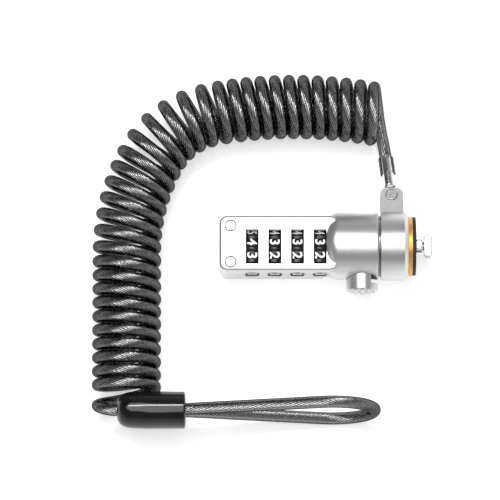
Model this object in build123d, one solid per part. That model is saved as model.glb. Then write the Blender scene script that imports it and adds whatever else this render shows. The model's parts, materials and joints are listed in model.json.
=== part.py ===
from build123d import *
import math
import os

os.makedirs("parts", exist_ok=True)

# Laptop cable lock: a four-dial lock head on a coiled steel cable with an anchor loop.
# Millimetres.  Origin at the centre of the rubber washer's outer face, on the lock axis.
# +X runs out of the nose along the T-bar, +Y runs across the lock towards the coil, +Z is up.

# ---- lock head
head_radius = 9.9
head_left = -26.8
head_right = -11.0
head_dome_radius = 4.0
cavity_radius = 8.2
cavity_left = -23.2
box_left = -57.8
box_front = -8.5
box_back = 7.9
box_bottom = -7.9
box_top = 7.5
part_line = -3.7
cover_right = -27.2
box_corner_radius = 2.3
box_edge_radius = 0.8
box_right = -23.0
rivet_places = [(-54.5, 4.9), (-54.5, -5.9)]
rivet_shank_radius = 1.2
rivet_head_radius = 1.5
rivet_recess_radius = 1.78
rivet_head_height = 0.6

# ---- dials
dial_axis_y = -1.85
dial_axis_z = 0.1
dial_centres = [-28.2, -34.85, -41.5, -48.15]
dial_width = 3.5
dial_flat_radius = 6.45
dial_rib_radius = 7.0
dial_rib_width = 0.9
digit_count = 10
first_digit_angle = -17.0
pocket_radius = 7.25
pocket_width = 3.75
window_front = -6.45
window_back = 3.75
scallop_half_width = 2.9
scallop_reach = 2.4
scallop_half_height = 4.2
scallop_standoff = 1.2
sleeve_radius = 3.4
sleeve_length = 6.0
sleeve_bore = 2.5
gate_thickness = 0.7
gate_bore = 1.4
gate_notch = 1.3

# ---- detent spring
strip_left = -51.7
strip_right = -25.6
strip_inner = 6.35
strip_outer = 6.6
finger_half_width = 1.2
finger_tip_y = 5.45
finger_tip_radius = 0.75

# ---- locking shaft
shaft_radius = 1.3
shaft_left = -52.0
shaft_right = -18.6
shaft_travel = 2.0
fin_radius = 2.3
fin_width = 1.0
pin_radius = 0.6
pin_x = -19.4

# ---- push button and plunger
button_x = -15.8
button_radius = 4.6
button_front = -13.9
button_rear = -6.5
button_travel = math.pi
button_edge_radius = 0.9
button_flat_right = -13.2
button_flat_front = -11.45
button_grooves = (-3.0, -1.0, 1.0, 3.0)
button_groove_width = 1.0
button_groove_depth = 0.5
cup_radius = 2.5
cup_front = -9.8
flange_radius = 4.95
flange_left = -19.9
flange_right = -13.3
flange_rear = -5.75
stem_left = -17.3
stem_right = -14.3
stem_end = 3.0
rack_module = 0.5
pinion_teeth = 8
spring_z = 3.85
spring_radius = 0.72
spring_wire = 0.24
spring_start = -2.0
spring_end = 6.6
spring_turns = 11

# ---- nose
journal_radius = 6.8
neck_radius = 4.5
plate_left = -2.2
plate_radius = 8.7
washer_left = -1.0
washer_radius = 8.65
spindle_radius = 1.6
shank_radius = 1.25
tbar_left = 2.45
tbar_right = 4.9
tbar_half_width = 3.3
tbar_half_height = 1.4
prong_end = 2.0
prong_inner = 1.35
prong_outer = 3.3
prong_half_width = 1.45

# ---- swivel collar, lug and ferrule
collar_left = -10.3
collar_right = -2.25
collar_radius = 10.1
collar_bore = 6.9
lug_drop_angle = 15.0
lug_left = -10.3
lug_right = -3.5
lug_rivet_distance = 15.7
lug_beyond_rivet = 2.3
lug_corner_radius = 2.0
lug_gap = 2.2
lug_plate = 1.4
lug_rivet_radius = 1.0
lug_rivet_head_radius = 1.8
lug_rivet_head_height = 0.45
ferrule_lean_angle = 6.5
ferrule_eye_radius = 2.9
ferrule_eye_thickness = 2.0
ferrule_tongue_width = 3.2
ferrule_neck = 3.65
ferrule_radius = 1.75
ferrule_crimp_start = 8.2
ferrule_crimp_across = 3.26
ferrule_length = 13.3
ferrule_bore_depth = 4.2
clear_sleeve_start = 8.0
clear_sleeve_radius = 2.3

# ---- cable
cable_radius = 1.8
core_radius = 1.35
jacket_bore = 1.5
coil_start = Vector(-13.2, 40.1, 0)
coil_start_heading = -9.5
coil_bends = [(137.5, 8.0), (62.0, 14.0), (26.0, 62.0), (60.0, 90.0)]
coil_start_advance = -2.8
coil_end_y = -40.8
coil_radius_top = 7.8
coil_radius_side = 8.4
pitch_top = 3.95
pitch_corner = 4.95
pitch_bend = 4.3
pitch_side = 3.84
lean_top = -3.4
lean_side = 1.9
lean_end = -1.0

# ---- loop and its black sleeve
loop_y = -49.35
loop_z = 4.1
loop_sleeve_left = -87.6
loop_sleeve_right = -67.7
loop_sleeve_radius = 5.55
loop_tip_x = -24.6
loop_tip_radius = 12.3
leg_offset = 1.95
loop_tilt_angle = 3.5
crimp_radius = 2.94


# ---------------------------------------------------------------- simple bodies
def rod(x0, x1, radius, y=0.0, z=0.0):
    """Cylinder along X."""
    return Solid.make_cylinder(radius, x1 - x0, Plane(origin=(x0, y, z), z_dir=(1, 0, 0)))


def rod_y(y0, y1, radius, x=0.0, z=0.0):
    """Cylinder along Y."""
    return Solid.make_cylinder(radius, y1 - y0, Plane(origin=(x, y0, z), z_dir=(0, 1, 0)))


def rod_z(z0, z1, radius, x=0.0, y=0.0):
    """Cylinder along Z."""
    return Solid.make_cylinder(radius, z1 - z0, Plane(origin=(x, y, z0)))


def block(x0, x1, y0, y1, z0, z1):
    """Box between two corners."""
    return Solid.make_box(x1 - x0, y1 - y0, z1 - z0, Plane(origin=(x0, y0, z0)))


def save(name, shape):
    """Writes one node as its own STEP file."""
    solids = shape.solids()
    if len(solids) == 1:
        shape = solids[0]
    else:
        shape = Compound(children=list(solids))
    shape.label = name
    export_step(shape, f"parts/{name}.step")


# ---------------------------------------------------------------- cable centreline
def eased(start, end, s):
    """Smooth step from 0 to 1."""
    t = min(max((s - start) / (end - start), 0.0), 1.0)
    return t * t * (3 - 2 * t)


def coil_axis(s):
    """Point and heading of the coil's own axis at distance s from its right-hand end."""
    x = coil_start.X
    y = coil_start.Y
    heading = math.radians(coil_start_heading)
    if s <= 0:
        return x - s * math.cos(heading), y - s * math.sin(heading), heading
    for radius, end_angle in coil_bends:
        end = math.radians(end_angle)
        length = radius * (end - heading)
        new = heading + min(s, length) / radius
        x -= radius * (math.sin(new) - math.sin(heading))
        y -= radius * (math.cos(heading) - math.cos(new))
        heading = new
        if s <= length:
            return x, y, heading
        s -= length
    return x - s * math.cos(heading), y - s * math.sin(heading), heading


def coil_pitch(s):
    """Advance per turn: close-wound, opened out where the coil goes round the corner."""
    pitch = pitch_top
    pitch += (pitch_corner - pitch_top) * eased(36, 48, s)
    pitch -= (pitch_corner - pitch_bend) * eased(66, 74, s)
    pitch -= (pitch_bend - pitch_side) * eased(96, 106, s)
    return pitch


def coil_point(s, phase):
    """Point of the cable in the coil; phase 0 is the outer side, a quarter turn is the top."""
    x, y, heading = coil_axis(s)
    radius = coil_radius_top + (coil_radius_side - coil_radius_top) * eased(50, 75, s)
    lean = lean_top + (lean_side - lean_top) * eased(30, 80, s)
    lean += (lean_end - lean_side) * eased(98, 140, s)
    shift = -lean / 2 * math.cos(phase)
    out = radius * math.cos(phase)
    px = x - out * math.sin(heading) - shift * math.cos(heading)
    py = y + out * math.cos(heading) - shift * math.sin(heading)
    return Vector(px, py, radius * math.sin(phase))


def coil_stations():
    """Points and tangents three times a turn, from the lead to the last outer lobe."""
    steps = 90
    distances = [coil_start_advance]
    while coil_axis(distances[-1])[1] > coil_end_y or distances[-1] < 60:
        distances.append(distances[-1] + coil_pitch(distances[-1]) / steps)
    turns = math.floor((len(distances) - 1) / steps - 0.25) + 0.25
    stretch = (distances[-1] - distances[0]) / (distances[round(turns * steps)] - distances[0])
    stations = []
    count = round(turns * steps)
    for i in range(0, count + 1, 30):
        stations.append((i, distances[i]))
    if stations[-1][0] != count:
        stations.append((count, distances[count]))
    result = []
    for i, s in stations:
        phase = -math.pi / 2 + 2 * math.pi * i / steps
        s = distances[0] + (s - distances[0]) * stretch
        small = 0.001
        rate = coil_pitch(s) * stretch / (2 * math.pi)
        before = coil_point(s - small * rate, phase - small)
        after = coil_point(s + small * rate, phase + small)
        result.append((coil_point(s, phase), (after - before).normalized()))
    return result


def biarc(p1, t1, p2, t2):
    """Joint point and tangent of the two arcs that join two stations smoothly."""
    v = p2 - p1
    t = t1 + t2
    k = 2 * (1 - t1.dot(t2))
    vt = v.dot(t)
    if k > 1e-9:
        d = (math.sqrt(vt * vt + k * v.dot(v)) - vt) / k
    else:
        d = v.dot(v) / (4 * v.dot(t2))
    middle = (p1 + p2 + (t1 - t2) * d) * 0.5
    tangent = ((p2 - t2 * d) - (p1 + t1 * d)).normalized()
    return middle, tangent


def smooth_chain(stations):
    """Stations with the arc joints put in between."""
    chain = [stations[0]]
    for (p1, t1), (p2, t2) in zip(stations, stations[1:]):
        chain.append(biarc(p1, t1, p2, t2))
        chain.append((p2, t2))
    return chain


def segment(p1, t1, p2, radius):
    """One round piece of cable that leaves p1 along t1 and ends at p2."""
    e = p2 - p1
    normal = t1.cross(e)
    if normal.length < 1e-6 * e.length:
        return Solid.make_cylinder(radius, e.length, Plane(origin=p1, z_dir=t1))
    normal = normal.normalized()
    inward = normal.cross(t1)
    bend = e.dot(e) / (2 * e.dot(inward))
    angle = 2 * math.atan2(e.dot(inward), e.dot(t1))
    disc = Face(Wire.make_circle(radius, Plane(origin=p1, z_dir=t1)))
    return Solid.revolve(disc, math.degrees(angle), Axis(p1 + inward * bend, normal))


def skin(chain, radius):
    """Side faces of a round cable along the chain."""
    faces = []
    for (p1, t1), (p2, t2) in zip(chain, chain[1:]):
        piece = segment(p1, t1, p2, radius)
        faces += [f for f in piece.faces() if f.geom_type != GeomType.PLANE]
    return faces


def end_face(station, outer, inner):
    """Flat end of the cable: a disc, or a ring when there is a hole."""
    plane = Plane(origin=station[0], z_dir=station[1])
    rim = Wire.make_circle(outer, plane)
    if inner is None:
        return Face(rim)
    return Face(rim, [Wire.make_circle(inner, plane)])


def cable_solid(chain, outer, inner=None):
    """A solid rod or a tube along the chain."""
    faces = skin(chain, outer)
    if inner is not None:
        faces += skin(chain, inner)
    faces += [end_face(chain[0], outer, inner), end_face(chain[-1], outer, inner)]
    return Solid(Shell(faces))


# ferrule direction: along the dropped lug, leaning a little towards the box
drop = math.radians(lug_drop_angle)
lean = math.radians(ferrule_lean_angle)
lug_out = Vector(0, math.cos(drop), -math.sin(drop))
lug_normal = Vector(0, math.sin(drop), math.cos(drop))
pivot = lug_out * lug_rivet_distance + Vector((lug_left + lug_right) / 2, 0, 0)
ferrule_out = lug_out * math.cos(lean) + Vector(-math.sin(lean), 0, 0)
core_start = pivot + ferrule_out * (ferrule_length - ferrule_bore_depth + 0.2)
jacket_start = pivot + ferrule_out * ferrule_length

# lead, coil, last turn under the sleeve, sleeve nose, upper leg, tip, lower leg
coil = coil_stations()
last_lobe_y = coil[-1][0].Y
side_x = coil[-1][0].X + coil_radius_side
down = Vector(0, -1, 0)
last_turn = [
    (Vector(side_x, last_lobe_y - 0.3, coil_radius_side), Vector(1, -0.04, 0).normalized()),
    (Vector(side_x + coil_radius_side, last_lobe_y - 0.7, 0), Vector(0, -0.1, -1).normalized()),
    (Vector(side_x, last_lobe_y - 3.0, -coil_radius_side), Vector(-1, -0.24, 0).normalized()),
    (Vector(side_x - coil_radius_side, last_lobe_y - 6.1, -0.3), Vector(0, -0.25, 1).normalized()),
]
upper_z = loop_z + leg_offset
lower_z = loop_z - leg_offset
leg_angle = math.radians(14.5)
leg_x = loop_tip_x - loop_tip_radius * math.sin(leg_angle)
leg_rise = loop_tip_radius * math.cos(leg_angle)
along = Vector(1, 0, 0)
up_leg = Vector(math.cos(leg_angle), 0, math.sin(leg_angle))
back_leg = Vector(-math.cos(leg_angle), 0, math.sin(leg_angle))
leg_run = (leg_rise - leg_offset - 0.9) / math.tan(leg_angle)
flare_x = leg_x - leg_run
loop = [
    (Vector(loop_sleeve_left, loop_y, loop_z), along),
    (Vector(loop_sleeve_left + 3.6, loop_y, loop_z), along),
    (Vector(loop_sleeve_left + 8.0, loop_y, upper_z), along),
    (Vector(flare_x - 7.0, loop_y, upper_z), along),
    (Vector(flare_x, loop_y, upper_z + 0.9), up_leg),
    (Vector(leg_x, loop_y, loop_z + leg_rise), up_leg),
    (Vector(loop_tip_x + loop_tip_radius, loop_y, loop_z), Vector(0, 0, -1)),
    (Vector(leg_x, loop_y, loop_z - leg_rise), back_leg),
    (Vector(flare_x, loop_y, lower_z - 0.9), back_leg),
    (Vector(flare_x - 7.0, loop_y, lower_z), along * -1),
    (Vector(loop_sleeve_left + 8.0, loop_y, lower_z), along * -1),
]
loop_centre = Vector(0, loop_y, loop_z)
for i in range(4, 9):
    point, direction = loop[i]
    point = (point - loop_centre).rotate(Axis.X, -loop_tilt_angle) + loop_centre
    loop[i] = (point, direction.rotate(Axis.X, -loop_tilt_angle))
lead = [(jacket_start, ferrule_out)]
route = smooth_chain(lead + coil + last_turn + loop)
core_route = [(core_start, ferrule_out)] + route

cable_jacket = cable_solid(route, cable_radius, jacket_bore)
cable_core = cable_solid(core_route, core_radius)
save("cable_jacket", cable_jacket)
save("cable_core", cable_core)

# ---------------------------------------------------------------- ferrule
ferrule_plane = Plane(origin=pivot, x_dir=ferrule_out, z_dir=lug_normal)
across = ferrule_plane.y_dir


def along_ferrule(start, end, radius):
    """Cylinder on the ferrule's own axis."""
    return Solid.make_cylinder(radius, end - start, Plane(origin=pivot + ferrule_out * start, z_dir=ferrule_out))


eye_plane = Plane(origin=pivot - lug_normal * (ferrule_eye_thickness / 2), z_dir=lug_normal)
eye = Solid.make_cylinder(ferrule_eye_radius, ferrule_eye_thickness, eye_plane)
tongue_origin = eye_plane.origin - across * (ferrule_tongue_width / 2)
tongue_plane = Plane(origin=tongue_origin, x_dir=ferrule_out, z_dir=lug_normal)
tongue = Solid.make_box(ferrule_neck + 0.25, ferrule_tongue_width, ferrule_eye_thickness, tongue_plane)
barrel = along_ferrule(ferrule_neck, ferrule_crimp_start, ferrule_radius)
barrel = barrel.fillet(0.5, [barrel.edges().sort_by(Axis(pivot, ferrule_out))[0]])
crimped = along_ferrule(ferrule_crimp_start, ferrule_length, ferrule_radius)
octagon = Plane(origin=pivot + ferrule_out * ferrule_crimp_start, z_dir=ferrule_out)
octagon = octagon * RegularPolygon(ferrule_crimp_across / 2, 8, major_radius=False)
crimped = crimped & extrude(octagon, ferrule_length - ferrule_crimp_start).solid()
ferrule = eye + tongue + barrel + crimped
eye_hole = Plane(origin=pivot - lug_normal * ferrule_eye_thickness, z_dir=lug_normal)
ferrule = ferrule - Solid.make_cylinder(lug_rivet_radius + 0.06, 2 * ferrule_eye_thickness, eye_hole)
ferrule = ferrule - along_ferrule(ferrule_length - ferrule_bore_depth, ferrule_length + 1, core_radius + 0.02)
save("cable_ferrule", ferrule)

clear_sleeve = along_ferrule(clear_sleeve_start, ferrule_length - 0.2, clear_sleeve_radius)
clear_sleeve = clear_sleeve - along_ferrule(clear_sleeve_start - 1, ferrule_length + 1, ferrule_radius + 0.02)
save("clear_sleeve", clear_sleeve)

# ---------------------------------------------------------------- loop sleeve and crimp
sleeve_profile = Polyline(
    (loop_sleeve_left, 0),
    (loop_sleeve_left, 2.4),
    (loop_sleeve_left + 0.8, 3.6),
    (loop_sleeve_left + 2.8, loop_sleeve_radius),
    (loop_sleeve_right - 0.6, loop_sleeve_radius),
    (loop_sleeve_right, loop_sleeve_radius - 0.6),
    (loop_sleeve_right, 0),
    close=True,
)
loop_sleeve = Solid.revolve(Face(Wire(sleeve_profile.edges())), 360, Axis((0, 0, 0), (1, 0, 0)))
nose_edge = [e for e in loop_sleeve.edges() if abs(e.center().X - loop_sleeve_left - 2.8) < 0.01]
loop_sleeve = loop_sleeve.fillet(1.6, nose_edge)
loop_sleeve = loop_sleeve - rod(loop_sleeve_left - 1, loop_sleeve_left + 3.2, cable_radius + 0.05)
loop_sleeve = loop_sleeve - rod(loop_sleeve_left + 2.4, loop_sleeve_right + 1, 4.9)
loop_sleeve = loop_sleeve.moved(Location((0, loop_y, loop_z)))
save("loop_sleeve", loop_sleeve)

crimp_left = loop_sleeve_left + 8.2
crimp_right = loop_sleeve_right - 1.4
crimp = rod(crimp_left, crimp_right, crimp_radius, loop_y, upper_z)
crimp = crimp + rod(crimp_left, crimp_right, crimp_radius, loop_y, lower_z)
crimp = crimp + block(crimp_left, crimp_right, loop_y - crimp_radius, loop_y + crimp_radius, lower_z, upper_z)
for leg_z in (upper_z, lower_z):
    crimp = crimp - rod(crimp_left - 1, crimp_right + 1, cable_radius + 0.03, loop_y, leg_z)
save("crimp_sleeve", crimp)

# ---------------------------------------------------------------- housing
box = block(box_left, box_right, box_front, box_back, box_bottom, box_top)
box = box.fillet(box_corner_radius, box.edges().filter_by(Axis.Z))
rims = [e for e in box.edges() if abs(e.center().Z - box_top) < 0.01 or abs(e.center().Z - box_bottom) < 0.01]
box = box.fillet(box_edge_radius, rims)
head = rod(head_left, head_right, head_radius)
dome = [e for e in head.edges() if abs(e.center().X - head_left) < 0.01]
head = head.fillet(head_dome_radius, dome)
mouth = [e for e in head.edges() if abs(e.center().X - head_right) < 0.01]
head = head.fillet(0.4, mouth)

space = rod(-52.3, -24.5, sleeve_radius + 0.1, dial_axis_y, dial_axis_z)
space = space + block(-52.3, -24.5, dial_axis_y - 3.5, dial_axis_y + 3.5, part_line, dial_axis_z)
for x in dial_centres:
    half = pocket_width / 2
    space = space + rod(x - half, x + half, pocket_radius, dial_axis_y, dial_axis_z)
    space = space + block(x - half, x + half, window_front, window_back, 0.0, box_top + 1)
space = space + block(-51.9, -25.4, 4.2, 6.7, part_line, 2.6)

shaft_bore = rod(-54.5, -22.0, shaft_radius + 0.08, dial_axis_y, dial_axis_z)
upper_box = box & block(-60, 0, -20, 20, part_line, 20)
housing = upper_box + head
housing = housing - rod(cavity_left, head_right + 1, cavity_radius)
housing = housing - space - shaft_bore
housing = housing - rod_y(-12, -6.0, button_radius + 0.1, button_x)
for x in dial_centres:
    scallop = Solid.make_sphere(1.0, Plane.XY, -90, 90, 360)
    scallop = scale(scallop, (scallop_half_width, scallop_reach, scallop_half_height))
    housing = housing - scallop.moved(Location((x, box_front - scallop_standoff, dial_axis_z)))
for x, y in rivet_places:
    housing = housing - rod_z(part_line - 1, box_top + 1, rivet_shank_radius, x, y)
    housing = housing - rod_z(box_top - rivet_head_height, box_top + 1, rivet_recess_radius, x, y)
save("upper_housing", housing)

cover = box & block(-60, cover_right, -20, 20, -20, part_line)
for x in dial_centres:
    half = pocket_width / 2
    cover = cover - rod(x - half, x + half, pocket_radius, dial_axis_y, dial_axis_z)
cover = cover - block(-51.9, cover_right - 1.5, 4.2, 6.7, -5.2, part_line + 1)
for x, y in rivet_places:
    cover = cover - rod_z(box_bottom - 1, part_line + 1, rivet_shank_radius, x, y)
    cover = cover - rod_z(box_bottom - 1, box_bottom + rivet_head_height, rivet_recess_radius, x, y)
save("lower_cover", cover)

rivets = []
for x, y in rivet_places:
    rivet = rod_z(box_bottom, box_top, rivet_shank_radius, x, y)
    rivet = rivet + rod_z(box_top - rivet_head_height, box_top, rivet_head_radius, x, y)
    rivet = rivet + rod_z(box_bottom, box_bottom + rivet_head_height, rivet_head_radius, x, y)
    rivets.append(rivet)
save("housing_rivets", Compound(children=rivets))

# ---------------------------------------------------------------- dials and clutch sleeves
for number, x in enumerate(dial_centres, start=1):
    half = dial_width / 2
    dial = rod(x - half, x + half, dial_flat_radius, dial_axis_y, dial_axis_z)
    for step in range(digit_count):
        angle = first_digit_angle + 360 / digit_count * (step + 0.5)
        rib = block(-half, half, -dial_rib_width / 2, dial_rib_width / 2, 5.5, dial_rib_radius)
        rib = rib.rotate(Axis.X, -angle).moved(Location((x, dial_axis_y, dial_axis_z)))
        dial = dial + rib
    dial = dial - rod(x - 3, x + 3, sleeve_radius + 0.01, dial_axis_y, dial_axis_z)
    save(f"dial_{number}", dial)

    sleeve = rod(x - sleeve_length / 2, x + sleeve_length / 2, sleeve_radius)
    sleeve = sleeve - rod(x - 4, x - gate_thickness / 2, sleeve_bore)
    sleeve = sleeve - rod(x + gate_thickness / 2, x + 4, sleeve_bore)
    sleeve = sleeve - rod(x - 4, x + 4, gate_bore)
    sleeve = sleeve - block(x - 1, x + 1, -gate_notch / 2, gate_notch / 2, 0, sleeve_bore)
    save(f"clutch_sleeve_{number}", sleeve.moved(Location((0, dial_axis_y, dial_axis_z))))

# ---------------------------------------------------------------- locking shaft
shaft = rod(shaft_left, shaft_right, shaft_radius)
for x in dial_centres:
    fin = block(x + 0.65, x + 1.35, -fin_width / 2, fin_width / 2, 0, fin_radius)
    shaft = shaft + fin
shaft = shaft.moved(Location((0, dial_axis_y, dial_axis_z)))
shaft = shaft + rod_z(dial_axis_z, 3.0, pin_radius, pin_x, dial_axis_y)
save("locking_shaft", shaft)

# ---------------------------------------------------------------- detent spring
strip = block(strip_left, strip_right, strip_inner, strip_outer, -3.6, 2.4)
for x in dial_centres:
    x0 = x - finger_half_width
    x1 = x + finger_half_width
    tip = rod(x0, x1, finger_tip_radius, finger_tip_y, dial_axis_z)
    web = block(x0, x1, finger_tip_y, strip_inner + 0.05, dial_axis_z - 0.25, dial_axis_z + 0.25)
    strip = strip + block(x0, x1, strip_inner - 0.05, strip_outer - 0.1, -2.2, 2.4) + tip + web
save("detent_spring", strip)

# ---------------------------------------------------------------- push button, plunger, spring
button = rod_y(button_front, button_rear, button_radius, button_x)
front_rim = [e for e in button.edges() if abs(e.center().Y - button_front) < 0.01]
button = button.fillet(button_edge_radius, front_rim)
button = button - block(button_flat_right, -10.0, button_flat_front, button_rear + 1, -6, 6)
groove_end = button_front + button_groove_depth
for offset in button_grooves:
    x0 = button_x + offset - button_groove_width / 2
    button = button - block(x0, x0 + button_groove_width, button_front - 1, groove_end, -6, 6)
button = button - rod_y(cup_front - 0.2, button_rear + 1, cup_radius + 0.01, button_x)
save("push_button", button)

flange = rod_y(button_rear, flange_rear, flange_radius, button_x)
flange = flange & block(flange_left, flange_right, -8, -5, -6, 6)
stem = block(stem_left, stem_right, flange_rear - 0.05, stem_end, 2.6, 5.2)
plunger = flange + stem + rod_y(cup_front, button_rear + 0.1, cup_radius, button_x)
tooth_pitch = math.pi * rack_module
for step in (-2.5, -1.5, -0.5, 0.5, 1.5):
    y = step * tooth_pitch
    corners = [(0, y - 0.37, 2.65), (0, y - 0.09, 1.6), (0, y + 0.09, 1.6), (0, y + 0.37, 2.65)]
    tooth = Solid.extrude(Face(Wire.make_polygon(corners, close=True)), Vector(stem_right - stem_left, 0, 0))
    plunger = plunger + tooth.moved(Location((stem_left, 0, 0)))
arm = block(-22.5, stem_left + 0.05, flange_rear, -0.6, 2.0, 3.3)
plunger = plunger + arm
plunger = plunger - rod_y(spring_start, stem_end + 1, 0.97, button_x, spring_z)
slot_half = pin_radius + 0.06
slot_run = Vector(-shaft_travel, -button_travel, 0)
slot_side = Vector(slot_run.Y, -slot_run.X, 0).normalized() * slot_half
slot_start = Vector(pin_x, dial_axis_y, 0)
corners = [slot_start + slot_side, slot_start + slot_run + slot_side]
corners += [slot_start + slot_run - slot_side, slot_start - slot_side]
slot = Solid.extrude(Face(Wire.make_polygon(corners, close=True)), Vector(0, 0, 6))
slot = slot + rod_z(0, 6, slot_half, slot_start.X, slot_start.Y)
slot = slot + rod_z(0, 6, slot_half, slot_start.X + slot_run.X, slot_start.Y + slot_run.Y)
plunger = plunger - slot
save("button_plunger", plunger)

spring_length = spring_end - spring_start - spring_wire
helix = Helix(spring_length / spring_turns, spring_length, spring_radius)
helix = helix.moved(Location((0, 0, spring_wire / 2)))
wire_start = Plane(origin=helix @ 0, z_dir=helix % 0)
spring = sweep(wire_start * Circle(spring_wire / 2), path=helix)
spring = Plane(origin=(button_x, spring_start, spring_z), z_dir=(0, 1, 0)).location * spring
save("button_spring", spring)

# ---------------------------------------------------------------- spindle, pinion and clip
spindle = rod(-17.2, -14.3, 1.2) + rod(-14.3, -3.05, spindle_radius) + rod(-3.05, tbar_left + 0.5, shank_radius)
tbar = block(tbar_left, tbar_right, -tbar_half_width, tbar_half_width, -tbar_half_height, tbar_half_height)
corner_edges = [e for e in tbar.edges().filter_by(Axis.Z)]
tbar = tbar.chamfer(0.7, None, corner_edges)
spindle = spindle + tbar
spindle = spindle - (rod(-13.5, -13.05, 3.0) - rod(-13.6, -13.0, 1.2))
save("t_bar_spindle", spindle)

clip = rod(-13.48, -13.07, 2.6) - rod(-13.6, -12.9, 1.22) - block(-14, -12, -0.9, 0.9, -3, 0)
save("spindle_clip", clip)

pinion = rod(-17.2, -14.3, 1.5)
for step in range(pinion_teeth):
    tooth = Wire.make_polygon([(0, -0.39, 1.3), (0, -0.13, 2.32), (0, 0.13, 2.32), (0, 0.39, 1.3)], close=True)
    tooth = Solid.extrude(Face(tooth), Vector(2.9, 0, 0)).moved(Location((-17.2, 0, 0)))
    pinion = pinion + tooth.rotate(Axis.X, step * 360 / pinion_teeth)
pinion = pinion - rod(-18, -14, 1.21)
save("spindle_pinion", pinion)

# ---------------------------------------------------------------- nose
bush = rod(-13.0, -11.0, cavity_radius - 0.01) + rod(-11.0, -10.35, 9.0)
bush = bush + rod(-10.35, plate_left, journal_radius) + rod(plate_left, -0.02, neck_radius)
for side in (-1, 1):
    z0 = min(side * prong_inner, side * prong_outer)
    z1 = max(side * prong_inner, side * prong_outer)
    bush = bush + block(-0.1, prong_end, -prong_half_width, prong_half_width, z0, z1)
bush = bush - rod(-14, -3.0, spindle_radius + 0.05) - rod(-4, 0.5, shank_radius + 0.05)
bush = bush - rod_y(-9, -3.1, button_radius + 0.18, button_x)
save("nose_bush", bush)

nose_plate = rod(plate_left, washer_left, plate_radius) - rod(-3, 0, neck_radius + 0.01)
save("nose_plate", nose_plate)

washer = rod(washer_left, 0.0, washer_radius) - rod(-2, 1, neck_radius + 0.01)
save("rubber_washer", washer)

# ---------------------------------------------------------------- swivel collar and lug rivet
collar = rod(collar_left, collar_right, collar_radius)
collar = collar.chamfer(1.1, None, [e for e in collar.edges() if abs(e.center().X - collar_right) < 0.01])
lug_height = lug_plate * 2 + lug_gap
lug_width = lug_right - lug_left
half_stack = lug_height / 2
lug_origin = Vector(lug_right, 0, 0) - lug_normal * half_stack
lug_plane = Plane(origin=lug_origin, x_dir=lug_out, z_dir=lug_normal)
lug = Solid.make_box(lug_rivet_distance + lug_beyond_rivet, lug_width, lug_height, lug_plane)
lug_corners = lug.edges().filter_by(Axis((0, 0, 0), lug_normal)).sort_by(Axis((0, 0, 0), lug_out))[-2:]
lug = lug.fillet(lug_corner_radius, lug_corners)
collar = collar + lug
slot_start = lug_out * (collar_radius + 0.2) + Vector(lug_right + 1, 0, 0) - lug_normal * (lug_gap / 2)
slot = Solid.make_box(16, lug_width + 2, lug_gap, Plane(origin=slot_start, x_dir=lug_out, z_dir=lug_normal))
collar = collar - slot - rod(collar_left - 1, collar_right + 1, collar_bore)
rivet_hole = Plane(origin=pivot - lug_normal * lug_height, z_dir=lug_normal)
collar = collar - Solid.make_cylinder(lug_rivet_radius + 0.01, 2 * lug_height, rivet_hole)
save("swivel_collar", collar)

rivet_plane = Plane(origin=pivot - lug_normal * half_stack, z_dir=lug_normal)
lug_rivet = Solid.make_cylinder(lug_rivet_radius, lug_height, rivet_plane)
for side in (-1, 1):
    face = Plane(origin=pivot + lug_normal * (half_stack * side), z_dir=lug_normal * side)
    cap = Solid.make_cylinder(lug_rivet_head_radius, lug_rivet_head_height, face)
    outer_rim = cap.edges().sort_by(Axis(pivot, lug_normal * side))[-1]
    cap = cap.fillet(0.3, [outer_rim])
    lug_rivet = lug_rivet + cap
save("lug_rivet", lug_rivet)
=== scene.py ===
"""Looks of a laptop cable lock: a coiled cable, a painted metal combination lock and its T-bar nose.

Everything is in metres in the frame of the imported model. Lengths written with `mm` are millimetres.
"""

import json
import math

import bpy
from mathutils import Matrix, Vector


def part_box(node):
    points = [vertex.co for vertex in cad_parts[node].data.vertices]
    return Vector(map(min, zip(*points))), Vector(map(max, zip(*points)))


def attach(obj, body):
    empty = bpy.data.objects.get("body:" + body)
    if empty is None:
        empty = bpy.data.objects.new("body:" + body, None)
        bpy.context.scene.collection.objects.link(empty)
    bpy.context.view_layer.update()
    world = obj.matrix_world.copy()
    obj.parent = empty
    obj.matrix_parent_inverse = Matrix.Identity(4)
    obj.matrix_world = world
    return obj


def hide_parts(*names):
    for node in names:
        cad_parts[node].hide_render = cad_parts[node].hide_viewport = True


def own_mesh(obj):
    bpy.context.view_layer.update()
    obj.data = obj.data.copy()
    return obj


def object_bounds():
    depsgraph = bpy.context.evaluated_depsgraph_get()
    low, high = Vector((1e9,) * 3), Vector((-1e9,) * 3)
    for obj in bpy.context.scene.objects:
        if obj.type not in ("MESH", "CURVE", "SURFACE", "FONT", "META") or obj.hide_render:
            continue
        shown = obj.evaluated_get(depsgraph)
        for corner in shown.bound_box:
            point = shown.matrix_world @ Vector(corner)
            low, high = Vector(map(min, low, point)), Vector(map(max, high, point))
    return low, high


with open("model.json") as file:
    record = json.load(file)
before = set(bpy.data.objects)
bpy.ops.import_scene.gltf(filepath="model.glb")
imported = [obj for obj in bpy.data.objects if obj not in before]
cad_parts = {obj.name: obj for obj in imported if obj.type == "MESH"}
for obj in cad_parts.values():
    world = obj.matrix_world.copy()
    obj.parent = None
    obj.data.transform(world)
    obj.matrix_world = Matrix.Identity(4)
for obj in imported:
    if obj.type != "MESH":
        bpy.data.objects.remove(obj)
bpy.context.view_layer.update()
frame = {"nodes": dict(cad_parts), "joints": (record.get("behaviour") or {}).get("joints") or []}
nodes = frame["nodes"]
mm = 0.001

# ---------------------------------------------------------------- driving sizes
cable_radius = 1.8 * mm
rope_radius = 1.35 * mm
rope_wires = 12
rope_lay = 17.0 * mm
rope_step = 0.85 * mm
jacket_step = 1.35 * mm
jacket_sides = 24

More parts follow.
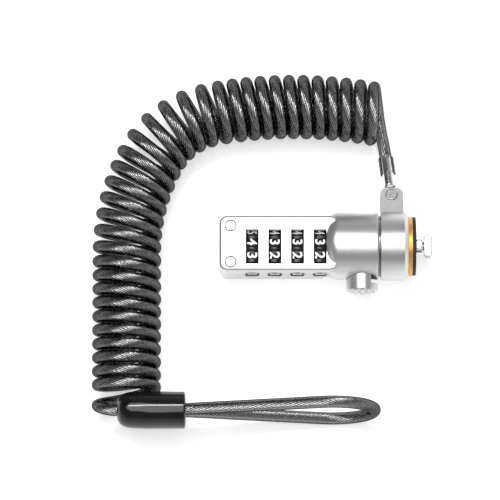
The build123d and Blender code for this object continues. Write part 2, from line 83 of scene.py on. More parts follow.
lug_drop = math.radians(15.0)
ferrule_lean = math.radians(6.5)
ferrule_length = 13.3 * mm
coil_start = Vector((-13.2, 40.1, 0.0)) * mm
coil_start_heading = math.radians(-9.5)
coil_start_advance = -2.8 * mm
coil_bends = [(137.5 * mm, 8.0), (62.0 * mm, 14.0), (26.0 * mm, 62.0), (60.0 * mm, 90.0)]
coil_end_y = -40.8 * mm
coil_radius_top = 7.8 * mm
coil_radius_side = 8.4 * mm
pitch_top = 3.95 * mm
pitch_corner = 4.95 * mm
pitch_bend = 4.3 * mm
pitch_side = 3.84 * mm
lean_top = -3.4 * mm
lean_side = 1.9 * mm
lean_end = -1.0 * mm
loop_y = -49.35 * mm
loop_z = 4.1 * mm
tip_x = -24.6 * mm
tip_radius = 12.3 * mm
leg_offset = 1.95 * mm
leg_angle = math.radians(14.5)
loop_tilt = math.radians(3.5)

# distances along the coil, in millimetres, over which its shape changes
pitch_opens = (36, 48)
pitch_closes = (66, 74)
pitch_settles = (96, 106)
radius_grows = (50, 75)
lean_turns = (30, 80)
lean_fades = (98, 140)

spring_turns = 11
spring_wire_radius = 0.12 * mm

digit_count = 10
digit_height = 2.75 * mm
digit_relief = 0.05 * mm
digit_stroke_growth = 0.065 * mm
digit_widening = 1.12
digit_copy_lift = 0.003 * mm
cap_height_share = 0.7
dial_flat_radius = 6.45 * mm
dial_rib_radius = 7.0 * mm
dial_bore_radius = 3.41 * mm
dial_rim_radius = 0.18 * mm
dial_rib_half_width = 0.45 * mm
points_per_digit = 18
first_digit_angle = math.radians(-17.0)
shown_digits = {"dial_1": 2, "dial_2": 2, "dial_3": 2, "dial_4": 3}

view_centre = Vector((-48.8, -1.1, 0.0)) * mm
view_width = 147.5 * mm
view_distance = 1.4
view_elevation = math.radians(80.0)
floor_reach = 2.5
floor_gap = 0.05 * mm


# ---------------------------------------------------------------- cable centreline
def eased(start, end, s):
    """Smooth step from 0 to 1 between two distances in millimetres."""
    t = min(max((s / mm - start) / (end - start), 0.0), 1.0)
    return t * t * (3 - 2 * t)


def coil_axis(s):
    """Point and heading of the coil's own axis at distance s from its right-hand end."""
    x, y, heading = coil_start.x, coil_start.y, coil_start_heading
    if s <= 0:
        return x - s * math.cos(heading), y - s * math.sin(heading), heading
    for radius, end_angle in coil_bends:
        end = math.radians(end_angle)
        length = radius * (end - heading)
        new = heading + min(s, length) / radius
        x -= radius * (math.sin(new) - math.sin(heading))
        y -= radius * (math.cos(heading) - math.cos(new))
        heading = new
        if s <= length:
            return x, y, heading
        s -= length
    return x - s * math.cos(heading), y - s * math.sin(heading), heading


def coil_pitch(s):
    """Advance per turn: close-wound, opened out where the coil goes round the corner."""
    pitch = pitch_top
    pitch += (pitch_corner - pitch_top) * eased(*pitch_opens, s)
    pitch -= (pitch_corner - pitch_bend) * eased(*pitch_closes, s)
    pitch -= (pitch_bend - pitch_side) * eased(*pitch_settles, s)
    return pitch


def coil_point(s, phase):
    """Point of the cable in the coil; phase 0 is the outer side, a quarter turn is the top."""
    x, y, heading = coil_axis(s)
    radius = coil_radius_top + (coil_radius_side - coil_radius_top) * eased(*radius_grows, s)
    lean = lean_top + (lean_side - lean_top) * eased(*lean_turns, s)
    lean += (lean_end - lean_side) * eased(*lean_fades, s)
    shift = -lean / 2 * math.cos(phase)
    out = radius * math.cos(phase)
    px = x - out * math.sin(heading) - shift * math.cos(heading)
    py = y + out * math.cos(heading) - shift * math.sin(heading)
    return Vector((px, py, radius * math.sin(phase)))


def coil_stations():
    """Points and tangents three times a turn, from the lead to the last outer lobe."""
    steps = 90
    distances = [coil_start_advance]
    while coil_axis(distances[-1])[1] > coil_end_y or distances[-1] < 60 * mm:
        distances.append(distances[-1] + coil_pitch(distances[-1]) / steps)
    turns = math.floor((len(distances) - 1) / steps - 0.25) + 0.25
    count = round(turns * steps)
    start = distances[0]
    stretch = (distances[-1] - start) / (distances[count] - start)
    picked = sorted(set(range(0, count + 1, steps // 3)) | {count})
    result = []
    for i in picked:
        phase = -math.pi / 2 + 2 * math.pi * i / steps
        s = start + (distances[i] - start) * stretch
        small = 0.001
        rate = coil_pitch(s) * stretch / (2 * math.pi)
        before = coil_point(s - small * rate, phase - small)
        after = coil_point(s + small * rate, phase + small)
        result.append((coil_point(s, phase), (after - before).normalized()))
    return result


def biarc(p1, t1, p2, t2):
    """Joint point and tangent of the two arcs that join two stations smoothly."""
    v = p2 - p1
    t = t1 + t2
    k = 2 * (1 - t1.dot(t2))
    vt = v.dot(t)
    if k > 1e-6:
        d = (math.sqrt(vt * vt + k * v.dot(v)) - vt) / k
    else:
        d = v.dot(v) / (4 * v.dot(t2))
    middle = (p1 + p2 + (t1 - t2) * d) * 0.5
    tangent = ((p2 - t2 * d) - (p1 + t1 * d)).normalized()
    return middle, tangent


def cable_stations():
    """Stations of the whole cable: ferrule, coil, last turn, loop and the end in the sleeve."""
    lug_out = Vector((0, math.cos(lug_drop), -math.sin(lug_drop)))
    pivot = Vector(next(j["pos_m"] for j in frame["joints"] if j["name"] == "ferrule_pivot"))
    ferrule_out = lug_out * math.cos(ferrule_lean) + Vector((-math.sin(ferrule_lean), 0, 0))
    coil = coil_stations()
    last_y = coil[-1][0].y
    side_x = coil[-1][0].x + coil_radius_side
    r = coil_radius_side
    last_turn = [
        ((side_x, last_y - 0.3 * mm, r), (1, -0.04, 0)),
        ((side_x + r, last_y - 0.7 * mm, 0), (0, -0.1, -1)),
        ((side_x, last_y - 3.0 * mm, -r), (-1, -0.24, 0)),
        ((side_x - r, last_y - 6.1 * mm, -0.3 * mm), (0, -0.25, 1)),
    ]
    nose_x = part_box("loop_sleeve")[0].x
    rise = tip_radius * math.cos(leg_angle)
    leg_x = tip_x - tip_radius * math.sin(leg_angle)
    spread = leg_offset + 0.9 * mm
    flare_x = leg_x - (rise - spread) / math.tan(leg_angle)
    up_leg = (math.cos(leg_angle), 0, math.sin(leg_angle))
    back_leg = (-math.cos(leg_angle), 0, math.sin(leg_angle))
    loop = [
        ((nose_x, loop_y, loop_z), (1, 0, 0)),
        ((nose_x + 3.6 * mm, loop_y, loop_z), (1, 0, 0)),
        ((nose_x + 8.0 * mm, loop_y, loop_z + leg_offset), (1, 0, 0)),
        ((flare_x - 7.0 * mm, loop_y, loop_z + leg_offset), (1, 0, 0)),
        ((flare_x, loop_y, loop_z + spread), up_leg),
        ((leg_x, loop_y, loop_z + rise), up_leg),
        ((tip_x + tip_radius, loop_y, loop_z), (0, 0, -1)),
        ((leg_x, loop_y, loop_z - rise), back_leg),
        ((flare_x, loop_y, loop_z - spread), back_leg),
        ((flare_x - 7.0 * mm, loop_y, loop_z - leg_offset), (-1, 0, 0)),
        ((nose_x + 8.0 * mm, loop_y, loop_z - leg_offset), (-1, 0, 0)),
    ]
    lead = [(pivot + ferrule_out * ferrule_length, ferrule_out)]
    rest = [(Vector(p), Vector(t).normalized()) for p, t in last_turn + loop]
    lean = Matrix.Rotation(-loop_tilt, 3, "X")
    centre = Vector((0, loop_y, loop_z))
    outside_sleeve = range(len(last_turn) + 4, len(last_turn) + 9)
    for i in outside_sleeve:
        point, direction = rest[i]
        rest[i] = (lean @ (point - centre) + centre, lean @ direction)
    return lead + coil + rest


def arc_samples(p1, t1, p2, step):
    """Points and tangents on the arc that leaves p1 along t1 and ends at p2, without its end."""
    chord = p2 - p1
    normal = t1.cross(chord)
    if normal.length < 1e-5 * chord.length:
        count = max(1, round(chord.length / step))
        return [(p1 + chord * (i / count), t1.copy()) for i in range(count)]
    normal.normalize()
    inward = normal.cross(t1)
    bend = chord.dot(chord) / (2 * chord.dot(inward))
    angle = 2 * math.atan2(chord.dot(inward), chord.dot(t1))
    centre = p1 + inward * bend
    count = max(1, round(bend * angle / step))
    result = []
    for i in range(count):
        turn = Matrix.Rotation(angle * i / count, 3, normal)
        result.append((centre + turn @ (p1 - centre), turn @ t1))
    return result


def cable_path(step):
    """Points and tangents along the whole cable, about one step apart."""
    stations = cable_stations()
    chain = [stations[0]]
    for (p1, t1), (p2, t2) in zip(stations, stations[1:]):
        chain.append(biarc(p1, t1, p2, t2))
        chain.append((p2, t2))
    path = []
    for (p1, t1), (p2, t2) in zip(chain, chain[1:]):
        path += arc_samples(p1, t1, p2, step)
    path.append(chain[-1])
    return path


def carried_frames(path):
    """Point, side and up vectors and distance at each sample; the frame never twists by itself."""
    point, tangent = path[0]
    side = tangent.orthogonal().normalized()
    frames = []
    distance = 0.0
    for new_point, new_tangent in path:
        side = tangent.rotation_difference(new_tangent) @ side
        side = (side - new_tangent * side.dot(new_tangent)).normalized()
        distance += (new_point - point).length
        frames.append((new_point, side, new_tangent.cross(side), distance))
        point, tangent = new_point, new_tangent
    return frames


# ---------------------------------------------------------------- mesh helpers
def new_piece(name, verts, faces, body, material, smooth=True):
    """A mesh object that rides on a body."""
    mesh = bpy.data.meshes.new(name)
    mesh.from_pydata(verts, [], faces)
    mesh.validate()
    if smooth:
        mesh.shade_smooth()
    piece = bpy.data.objects.new(name, mesh)
    bpy.context.scene.collection.objects.link(piece)
    piece.data.materials.append(material)
    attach(piece, body)
    return piece


def tube_rings(frames, outline, turns_per_metre=0.0):
    """Rings of points along the frames; outline is a list of (angle, radius)."""
    verts = []
    for point, side, up, distance in frames:
        twist = 2 * math.pi * turns_per_metre * distance
        for angle, radius in outline:
            a = angle + twist
            verts.append(point + side * (radius * math.cos(a)) + up * (radius * math.sin(a)))
    return verts


def bridge(first, second, sides):
    """Quads between two rings that start at vertex numbers first and second."""
    return [
        (first + i, first + (i + 1) % sides, second + (i + 1) % sides, second + i)
        for i in range(sides)
    ]


def tube_faces(rings, sides, start=0):
    """Quads of a tube's skin."""
    faces = []
    for ring in range(rings - 1):
        faces += bridge(start + ring * sides, start + (ring + 1) * sides, sides)
    return faces


def lathe(name, profile, axis_point, sides, body, material):
    """A closed ring or solid turned about an axis along X; profile is a closed list of (x, radius)."""
    verts = []
    for x, radius in profile:
        for i in range(sides):
            a = 2 * math.pi * i / sides
            verts.append(axis_point + Vector((x, radius * math.cos(a), radius * math.sin(a))))
    faces = []
    for ring in range(len(profile)):
        faces += bridge(ring * sides, (ring + 1) % len(profile) * sides, sides)
    return new_piece(name, verts, faces, body, material)


def rounded(profile, radius, corner_steps=5):
    """The closed profile with each corner replaced by a small arc-like curve."""
    result = []
    count = len(profile)
    for i, (x, y) in enumerate(profile):
        corner = Vector((x, y))
        before = Vector(profile[i - 1]) - corner
        after = Vector(profile[(i + 1) % count]) - corner
        cut = min(radius, before.length * 0.45, after.length * 0.45)
        start = corner + before.normalized() * cut
        end = corner + after.normalized() * cut
        for step in range(corner_steps + 1):
            t = step / corner_steps
            point = start * (1 - t) ** 2 + corner * (2 * t * (1 - t)) + end * t ** 2
            result.append((point.x, point.y))
    return result


# ---------------------------------------------------------------- material helpers
class Shader:
    """Short calls for building one node material."""

    def __init__(self, name):
        self.material = bpy.data.materials.new(name)
        self.material.use_nodes = True
        self.tree = self.material.node_tree
        self.surface = self.tree.nodes["Principled BSDF"]
        self.output = self.tree.nodes["Material Output"]
        self.place = self.tree.nodes.new("ShaderNodeTexCoord").outputs["Object"]

    def add(self, kind, inputs=None, **settings):
        node = self.tree.nodes.new(kind)
        for key, value in settings.items():
            setattr(node, key, value)
        for key, value in (inputs or {}).items():
            self.join(value, node.inputs[key])
        return node

    def join(self, value, socket):
        if isinstance(value, bpy.types.NodeSocket):
            self.tree.links.new(value, socket)
        else:
            socket.default_value = value

    def set(self, **values):
        for key, value in values.items():
            self.join(value, self.surface.inputs[key.replace("_", " ")])

    def noise(self, scale, detail=3.0, stretch=(1, 1, 1)):
        place = self.add("ShaderNodeMapping", {"Vector": self.place, "Scale": stretch})
        inputs = {"Vector": place.outputs[0], "Scale": scale, "Detail": detail}
        return self.add("ShaderNodeTexNoise", inputs).outputs["Fac"]

    def spread(self, value, low, high, from_low=0.3, from_high=0.7):
        inputs = {"Value": value, "From Min": from_low, "From Max": from_high, "To Min": low, "To Max": high}
        return self.add("ShaderNodeMapRange", inputs).outputs[0]

    def mix(self, factor, dark, light):
        node = self.add("ShaderNodeMix", {"Factor": factor}, data_type="RGBA")
        self.join(dark, node.inputs[6])
        self.join(light, node.inputs[7])
        return node.outputs[2]

    def bump(self, height, depth, normal=None):
        inputs = {"Height": height, "Distance": depth}
        if normal is not None:
            inputs["Normal"] = normal
        return self.add("ShaderNodeBump", inputs).outputs[0]

    def soft_edges(self, radius):
        return self.add("ShaderNodeBevel", {"Radius": radius}, samples=4).outputs[0]

    def crevice(self, reach, low, high):
        """0 in narrow gaps and corners, 1 on open faces: the mask for painted shade."""
        node = self.add("ShaderNodeAmbientOcclusion", {"Distance": reach}, samples=6)
        return self.spread(node.outputs["AO"], 0.0, 1.0, low, high)

    def edge_mask(self, radius, turned=0.75):
        """1 at sharp edges, 0 on flat faces; turned is the cosine at which the mask is full."""
        bevel = self.soft_edges(radius)
        true_normal = self.add("ShaderNodeNewGeometry").outputs["Normal"]
        inputs = {0: bevel, 1: true_normal}
        same = self.add("ShaderNodeVectorMath", inputs, operation="DOT_PRODUCT").outputs["Value"]
        return self.spread(same, 1.0, 0.0, turned, 0.995)


def grey(level, blue=0.0):
    return (level, level, level + blue, 1.0)


def silver_paint():
    """Satin silver paint on cast zinc: fine flakes, faint mottling, lighter along sharp edges, and painted
    shade in crevices.
    """
    s = Shader("silver_paint_look")
    flakes = s.noise(9000, 2.0)
    mottle = s.noise(140, 4.0)
    base = s.mix(s.spread(flakes, 0.0, 1.0), grey(0.50, 0.008), grey(0.72, 0.008))
    base = s.mix(s.spread(mottle, 0.0, 0.25), base, grey(0.50, 0.01))
    # Lighter along sharp edges.
    base = s.mix(s.edge_mask(0.16 * mm), base, grey(0.85))
    # Painted shade: the colour goes near black in crevices and narrow gaps.
    s.set(Base_Color=s.mix(s.crevice(0.7 * mm, 0.25, 0.8), grey(0.02), base), Metallic=0.8)
    s.set(Roughness=s.spread(mottle, 0.30, 0.40))
    height = s.bump(flakes, 0.006 * mm, s.soft_edges(0.14 * mm))
    s.set(Normal=s.bump(mottle, 0.02 * mm, height), IOR=1.5)
    return s.material


def machined(name, colour, roughness, stretch, depth=0.004, painted_shade_factor=0.02):
    """Turned or ground metal with fine lines across the stretch direction, and painted shade in crevices."""
    s = Shader(name)
    lines = s.noise(5200, 3.0, stretch)
    stain = s.noise(350, 4.0)
    lighter = tuple(min(1.0, c * 1.18) for c in colour[:3]) + (1.0,)
    base = s.mix(s.spread(stain, 0.0, 1.0), colour, lighter)
    # Painted shade: a darker copy of the colour, laid into crevices and narrow gaps.
    painted_shade_colour = tuple(c * painted_shade_factor for c in lighter[:3]) + (1.0,)
    s.set(Base_Color=s.mix(s.crevice(0.6 * mm, 0.15, 0.7), painted_shade_colour, base), Metallic=1.0)
    s.set(Roughness=s.spread(lines, roughness * 0.75, roughness * 1.3))
    s.set(Normal=s.bump(lines, depth * mm, s.soft_edges(0.08 * mm)))
    return s.material


def polished_steel(name, painted_edge_width):
    """Bright polished steel with painted dark reflections as thin lines on its sharp edges and corners, and
    painted shade in crevices.
    """
    s = Shader(name)
    haze = s.noise(900, 4.0)
    base = s.mix(s.spread(haze, 0.0, 1.0), grey(0.62), grey(0.78))
    # Painted reflection: sharp edges and corners turn near black.
    base = s.mix(s.edge_mask(painted_edge_width, 0.93), base, grey(0.01))
    # Painted shade: crevices turn near black.
    s.set(Base_Color=s.mix(s.crevice(0.8 * mm, 0.2, 0.75), grey(0.01), base), Metallic=0.55)
    s.set(Roughness=s.spread(haze, 0.18, 0.3))
    s.set(Normal=s.bump(haze, 0.004 * mm))
    return s.material


def gloss_black(name, roughness, ripple):
    """Glossy moulded plastic with a slight unevenness and fine rub marks."""
    s = Shader(name)
    rubs = s.noise(2600, 4.0, (1, 0.15, 0.15))
    wave = s.noise(160, 2.0)
    s.set(Base_Color=s.mix(s.spread(wave, 0.0, 1.0), grey(0.006), grey(0.014)))
    s.set(Roughness=s.spread(rubs, roughness, roughness * 1.8), IOR=1.5)
    s.set(Normal=s.bump(wave, ripple * mm, s.soft_edges(0.12 * mm)))
    return s.material


def printed_white():
    """White ink, a little uneven, with a faint painted glow."""
    s = Shader("glowing_digit_ink_look")
    grain = s.noise(5000, 3.0)
    s.set(Base_Color=s.mix(s.spread(grain, 0.0, 1.0), grey(0.9), grey(1.0)), Roughness=0.5)
    # Painted light: a faint glow keeps the digits bright inside the shaded dial windows.
    s.set(Emission_Color=grey(1.0), Emission_Strength=0.3)
    s.set(Normal=s.bump(grain, 0.003 * mm))
    return s.material


def nose_brass():
    """Warm brass-coloured plate with turned lines round its axis."""
    s = Shader("nose_brass_look")
    lines = s.noise(6500, 3.0, (1, 0.05, 0.05))
    stain = s.noise(420, 4.0)
    dull = (0.62, 0.29, 0.045, 1.0)
    warm = (0.86, 0.45, 0.09, 1.0)
    s.set(Base_Color=s.mix(s.spread(stain, 0.0, 1.0), dull, warm), Metallic=0.55)
    s.set(Roughness=s.spread(lines, 0.3, 0.48))
    s.set(Normal=s.bump(lines, 0.006 * mm, s.soft_edges(0.1 * mm)))
    return s.material


def rubber():
    """Matte black rubber with a fine grain."""
    s = Shader("black_rubber_look")
    grain = s.noise(3800, 5.0)
    s.set(Base_Color=s.mix(s.spread(grain, 0.0, 1.0), grey(0.010), grey(0.024)))
    s.set(Roughness=s.spread(grain, 0.6, 0.85))
    s.set(Normal=s.bump(grain, 0.02 * mm, s.soft_edges(0.1 * mm)))
    return s.material


def rope_steel():
    """Bright drawn wire, each wire a little different, with painted shade in the grooves between wires."""
    s = Shader("steel_wire_look")
    tone = s.add("ShaderNodeAttribute", attribute_name="groove").outputs["Fac"]
    patches = s.noise(900, 3.0)
    base = s.mix(s.spread(patches, 0.0, 1.0), grey(0.66), grey(0.88))
    # Painted shade: the grooves between the wires go near black.
    painted_groove_shade = s.spread(tone, 0.0, 1.0, 0.1, 0.6)
    s.set(Base_Color=s.mix(painted_groove_shade, base, grey(0.004)), Metallic=1.0)
    s.set(Roughness=s.spread(patches, 0.20, 0.32))
    return s.material


def see_through(name, facing_tint, edge_tint, roughness, gloss):
    """A clear or smoky skin: darker where it is seen edge-on, with a glossy surface."""
    s = Shader(name)
    s.tree.nodes.remove(s.surface)
    facing = s.add("ShaderNodeLayerWeight", {"Blend": 0.5}).outputs["Facing"]
    tint = s.mix(s.spread(facing, 0.0, 1.0, 0.05, 0.8), facing_tint, edge_tint)
    clear = s.add("ShaderNodeBsdfTransparent", {"Color": tint})
    smear = s.noise(500, 3.0)
    normal = s.bump(smear, 0.01 * mm)
    rough = s.spread(smear, roughness, roughness * 1.8)
    shine = s.add("ShaderNodeBsdfGlossy", {"Color": grey(0.9), "Roughness": rough, "Normal": normal})
    fresnel = s.add("ShaderNodeFresnel", {"IOR": 1.46, "Normal": normal}).outputs[0]
    share = s.spread(fresnel, 0.0, gloss, 0.0, 1.0)
    both = s.add("ShaderNodeMixShader", {0: share, 1: clear.outputs[0], 2: shine.outputs[0]})
    s.tree.links.new(both.outputs[0], s.output.inputs["Surface"])
    return s.material


# ---------------------------------------------------------------- cable
def make_wire_rope(frames, material):
    """Twelve round wires laid right-handed round the core, as one fluted rod with round ends."""
    half = math.pi / rope_wires
    profile = [(-1.0, 0.76), (-0.62, 0.92), (0.0, 1.0), (0.62, 0.92)]
    outline = []
    for number in range(rope_wires):
        for part, height in profile:
            outline.append((half * (2 * number + part), rope_radius * height))
    sides = len(outline)
    verts = tube_rings(frames, outline, 1 / rope_lay)
    faces = tube_faces(len(frames), sides)
    faces.append(tuple(reversed(range(sides))))
    faces.append(tuple(range(len(verts) - sides, len(verts))))
    rope = new_piece("wire_rope", verts, faces, "cable", material)
    # Marks the groove points, where the wire look paints shade.
    groove = rope.data.attributes.new("groove", "FLOAT", "POINT")
    depth = [1.0 if i % len(profile) == 0 else 0.0 for i in range(sides)]
    groove.data.foreach_set("value", depth * len(frames))
    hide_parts("cable_core")


def make_jacket(frames, skin):
    """The vinyl jacket: a smooth round skin over the rope, closed at both ends."""
    outline = [(2 * math.pi * i / jacket_sides, cable_radius) for i in range(jacket_sides)]
    verts = tube_rings(frames, outline)
    faces = tube_faces(len(frames), jacket_sides)
    faces.append(tuple(reversed(range(jacket_sides))))
    faces.append(tuple(range(len(verts) - jacket_sides, len(verts))))
    jacket = new_piece("jacket", verts, faces, "cable", skin)
    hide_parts("cable_jacket")


def make_loop_sleeve(material):
    """The moulded sleeve at the root of the loop: a blunt nose, a long barrel and a rolled mouth."""
    low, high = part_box("loop_sleeve")
    length = high.x - low.x
    radius = (high.z - low.z) / 2
    axis_point = Vector((low.x, (low.y + high.y) / 2, (low.z + high.z) / 2))
    mouth_bore = 4.9 * mm
    nose_bore = cable_radius + 0.05 * mm
    profile = [
        (0.0, nose_bore),
        (0.0, 2.9 * mm),
        (0.9 * mm, 4.4 * mm),
        (2.9 * mm, radius * 0.95),
        (length * 0.4, radius),
        (length - 0.3 * mm, radius * 0.985),
        (length, radius - 0.6 * mm),
        (length, mouth_bore),
        (3.2 * mm, mouth_bore),
        (3.2 * mm, nose_bore),
    ]
    sleeve = lathe("sleeve", rounded(profile, 1.1 * mm), axis_point, 72, "cable", material)
    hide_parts("loop_sleeve")


# ---------------------------------------------------------------- dials
def make_dial(node, body, material):
    """A dial wheel: a drum with ten raised ribs, its rims slightly rounded."""
    low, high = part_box(node)
    joint = next(j for j in frame["joints"] if j["child"] == body)
    axis_point = Vector(joint["pos_m"])
    half = (high.x - low.x) / 2
    rise = dial_rib_radius - dial_flat_radius
    rim = dial_rim_radius
    step = 2 * math.pi / digit_count
    rib_half = dial_rib_half_width / dial_flat_radius
    angles = []
    for number in range(digit_count):
        middle = first_digit_angle + step * (number + 0.5)
        for k in range(points_per_digit):
            across = (k / points_per_digit - 0.5) * step
            angles.append((middle + across, across))
    verts = []
    stations = [(-half, -rim), (-half + rim, 0.0), (half - rim, 0.0), (half, -rim)]
    for x, drop in stations:
        for angle, across in angles:
            lift = min(max((rib_half * 1.5 - abs(across)) / (rib_half * 0.7), 0.0), 1.0)
            radius = dial_flat_radius + rise * lift * lift * (3 - 2 * lift) + drop
            offset = Vector((x, radius * math.sin(angle), radius * math.cos(angle)))
            verts.append(axis_point + offset)
    for x in (half, -half):
        for angle, _ in angles:
            offset = Vector((0, math.sin(angle), math.cos(angle))) * dial_bore_radius
            verts.append(axis_point + Vector((x, 0, 0)) + offset)
    sides = len(angles)
    faces = []
    for ring in range(6):
        faces += [tuple(reversed(f)) for f in bridge(ring * sides, (ring + 1) % 6 * sides, sides)]
    dial = new_piece(node + "_wheel", verts, faces, body, material)
    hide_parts(node)


def make_digit(node, body, value, angle, material):
    """One printed digit, bent round the dial; four shifted copies make its strokes bolder."""
    axis_point = Vector(next(j for j in frame["joints"] if j["child"] == body)["pos_m"])
    text = bpy.data.curves.new(f"digit_{value}_text", "FONT")
    text.body = str(value)
    text.align_x = "CENTER"
    text.size = digit_height / cap_height_share
    text.extrude = digit_relief / 2
    text.resolution_u = 6
    holder = bpy.data.objects.new("digit_holder", text)
    bpy.context.scene.collection.objects.link(holder)
    bpy.context.view_layer.update()
    flat = bpy.data.meshes.new_from_object(holder)
    bpy.data.objects.remove(holder)
    xs = [v.co.x for v in flat.vertices]
    ys = [v.co.y for v in flat.vertices]
    middle = Vector(((min(xs) + max(xs)) / 2, (min(ys) + max(ys)) / 2, 0.0))
    surface = dial_flat_radius + digit_relief / 2
    verts = []
    faces = []
    g = digit_stroke_growth
    for lift, (right, up) in enumerate([(-g, -g), (g, -g), (-g, g), (g, g)]):
        start = len(verts)
        for v in flat.vertices:
            place = v.co - middle + Vector((right, up, 0.0))
            a = angle - place.x * digit_widening / surface
            radius = surface + place.z + lift * digit_copy_lift
            verts.append(axis_point + Vector((place.y, radius * math.sin(a), radius * math.cos(a))))
        faces += [tuple(start + i for i in f.vertices) for f in flat.polygons]
    new_piece(f"{node}_digit_{value}", verts, faces, body, material, False)


def make_dials(plastic, ink):
    """All four dials and their digits."""
    for node, shown in shown_digits.items():
        body = "dial_wheel_" + node[-1]
        make_dial(node, body, plastic)
        for value in range(digit_count):
            angle = first_digit_angle + 2 * math.pi / digit_count * (value - shown)
            make_digit(node, body, value, angle, ink)


# ---------------------------------------------------------------- button spring
def make_return_spring(material):
    """The coil spring behind the button, built at one fixed length."""
    low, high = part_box("button_spring")
    centre = (low + high) / 2
    radius = (high.x - low.x) / 2 - spring_wire_radius
    run = high.y - low.y - 2 * spring_wire_radius
    per_turn = 20
    count = spring_turns * per_turn
    rise = run / (2 * math.pi * spring_turns)
    path = []
    for i in range(count + 1):
        angle = 2 * math.pi * i / per_turn
        round_x = radius * math.cos(angle)
        round_z = radius * math.sin(angle)
        along = low.y + spring_wire_radius + run * i / count
        point = Vector((centre.x + round_x, along, centre.z + round_z))
        path.append((point, Vector((-round_z, rise, round_x)).normalized()))
    sides = 8
    outline = [(2 * math.pi * i / sides, spring_wire_radius) for i in range(sides)]
    verts = tube_rings(carried_frames(path), outline)
    faces = tube_faces(count + 1, sides)
    faces.append(tuple(reversed(range(sides))))
    faces.append(tuple(range(len(verts) - sides, len(verts))))
    spring = new_piece("return_spring", verts, faces, "lock_body", material)
    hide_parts("button_spring")
    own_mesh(spring)


# ---------------------------------------------------------------- finish of the carried-over CAD nodes
def finish_nodes(looks):
    """Gives each CAD node its material."""
    for material, names in looks:
        for name in names:
            node = nodes[name]
            node.data.materials.clear()
            node.data.materials.append(material)


# ---------------------------------------------------------------- stage
def make_floor(centre, floor_z):
    """A wide, plain, pale floor."""
    floor_mesh = bpy.data.meshes.new("floor")
    reach = floor_reach
    corners = [(-reach, -reach, 0), (reach, -reach, 0), (reach, reach, 0), (-reach, reach, 0)]
    floor_mesh.from_pydata(corners, [], [(0, 1, 2, 3)])
    floor = bpy.data.objects.new("floor", floor_mesh)
    floor.location = (centre.x, centre.y, floor_z)
    bpy.context.scene.collection.objects.link(floor)
    s = Shader("floor_look")
    s.set(Base_Color=grey(0.9), Roughness=0.9, Emission_Color=grey(1.0), Emission_Strength=0.5)
    s.set(Specular_IOR_Level=0.0)
    floor.data.materials.append(s.material)


def make_world():
    """White from the horizon, darker overhead and darker still towards the back left."""
    world = bpy.data.worlds.new("studio")
    bpy.context.scene.world = world
    world.use_nodes = True
    tree = world.node_tree
    place = tree.nodes.new("ShaderNodeTexCoord").outputs["Generated"]
    height = tree.nodes.new("ShaderNodeSeparateXYZ")
    ramp = tree.nodes.new("ShaderNodeValToRGB")
    tree.links.new(place, height.inputs[0])
    tree.links.new(height.outputs["Z"], ramp.inputs["Fac"])
    toward = tree.nodes.new("ShaderNodeVectorMath")
    toward.operation = "DOT_PRODUCT"
    toward.inputs[1].default_value = (-0.75, 0.66, 0.0)
    tree.links.new(place, toward.inputs[0])
    side = tree.nodes.new("ShaderNodeMapRange")
    tree.links.new(toward.outputs["Value"], side.inputs["Value"])
    for key, value in (("From Min", 0.4), ("From Max", 0.8), ("To Min", 1.0), ("To Max", 0.12)):
        side.inputs[key].default_value = value
    both = tree.nodes.new("ShaderNodeMix")
    both.data_type = "RGBA"
    both.blend_type = "MULTIPLY"
    both.inputs[0].default_value = 1.0
    tree.links.new(ramp.outputs["Color"], both.inputs[6])
    tree.links.new(side.outputs[0], both.inputs[7])
    tree.links.new(both.outputs[2], tree.nodes["Background"].inputs["Color"])
    ramp.color_ramp.elements[0].position = 0.15
    ramp.color_ramp.elements[0].color = grey(1.0)
    ramp.color_ramp.elements[1].position = 0.62
    ramp.color_ramp.elements[1].color = grey(0.14)


def softbox(name, centre, direction, distance, size, watts):
    """A rectangular light that shines at the centre from a direction."""
    light = bpy.data.lights.new(name, "AREA")
    light.shape = "RECTANGLE"
    light.size, light.size_y = size
    light.energy = watts
    lamp = bpy.data.objects.new(name, light)
    away = Vector(direction).normalized()
    lamp.location = centre + away * distance
    lamp.rotation_mode = "QUATERNION"
    lamp.rotation_quaternion = away.to_track_quat("Z", "Y")
    bpy.context.scene.collection.objects.link(lamp)


def make_camera():
    """A long-lens camera nearly overhead."""
    camera = bpy.data.cameras.new("camera")
    camera.sensor_width = 36
    camera.lens = camera.sensor_width * view_distance / view_width
    camera.clip_start, camera.clip_end = 0.05, 20
    eye = bpy.data.objects.new("camera", camera)
    back = Vector((0, -math.cos(view_elevation), math.sin(view_elevation)))
    eye.location = view_centre + back * view_distance
    eye.rotation_mode = "QUATERNION"
    eye.rotation_quaternion = (-back).to_track_quat("-Z", "Y")
    bpy.context.scene.collection.objects.link(eye)
    bpy.context.scene.camera = eye


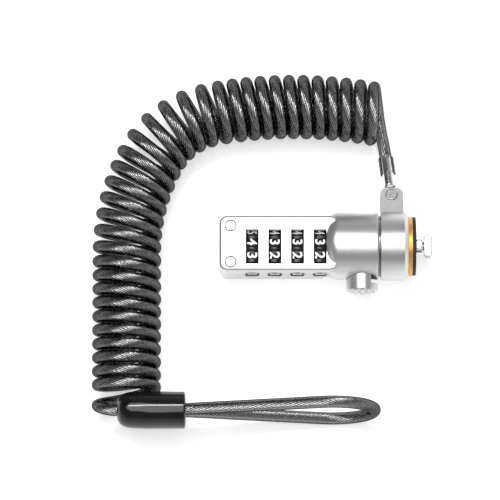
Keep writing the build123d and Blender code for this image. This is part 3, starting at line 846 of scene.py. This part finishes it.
def make_stage():
    """Floor, surroundings, lights and camera."""
    low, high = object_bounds()
    centre = (low + high) / 2
    make_floor(centre, low.z - floor_gap)
    make_world()
    softbox("key", centre, (-0.10, 0.10, 1.0), 1.0, (0.70, 0.95), 6.6)
    softbox("strip", centre, (-0.10, 0.34, 1.0), 0.95, (0.50, 0.07), 3.0)
    make_camera()
    bpy.context.scene.view_settings.view_transform = "Standard"
    bpy.context.scene.cycles.transparent_max_bounces = 32


# ---------------------------------------------------------------- build
make_wire_rope(carried_frames(cable_path(rope_step)), rope_steel())
smoky = see_through("smoky_jacket_look", grey(0.74), grey(0.01), 0.09, 0.27)
make_jacket(carried_frames(cable_path(jacket_step)), smoky)
make_loop_sleeve(gloss_black("black_plastic_look", 0.07, 0.03))
make_dials(gloss_black("black_dial_look", 0.14, 0.01), printed_white())

paint = silver_paint()
steel = machined("plain_steel_look", (0.62, 0.62, 0.63, 1.0), 0.26, (0.06, 1, 1))
nickel = machined("bright_nickel_look", (0.78, 0.78, 0.78, 1.0), 0.2, (1, 1, 0.1), 0.002, 0.9)
spring = machined("spring_steel_look", (0.42, 0.42, 0.44, 1.0), 0.3, (1, 1, 1))
brass = machined("plain_brass_look", (0.70, 0.50, 0.20, 1.0), 0.28, (1, 0.06, 0.06))
crimp = machined("crimp_aluminium_look", (0.66, 0.66, 0.68, 1.0), 0.36, (0.06, 1, 1))
clear = see_through("clear_tube_look", grey(0.99), grey(0.82), 0.06, 1.0)
make_return_spring(spring)
finish_nodes([
    (paint, ["upper_housing", "lower_cover", "push_button", "swivel_collar"]),
    (steel, ["locking_shaft", "button_plunger", "spindle_pinion"]),
    (nickel, ["cable_ferrule"]),
    (polished_steel("polished_rivet_look", 0.6 * mm), ["housing_rivets", "lug_rivet"]),
    (polished_steel("polished_steel_look", 1.1 * mm), ["t_bar_spindle", "nose_bush"]),
    (spring, ["detent_spring", "spindle_clip"]),
    (brass, ["clutch_sleeve_1", "clutch_sleeve_2", "clutch_sleeve_3", "clutch_sleeve_4"]),
    (crimp, ["crimp_sleeve"]),
    (nose_brass(), ["nose_plate"]),
    (rubber(), ["rubber_washer"]),
    (clear, ["clear_sleeve"]),
])
make_stage()
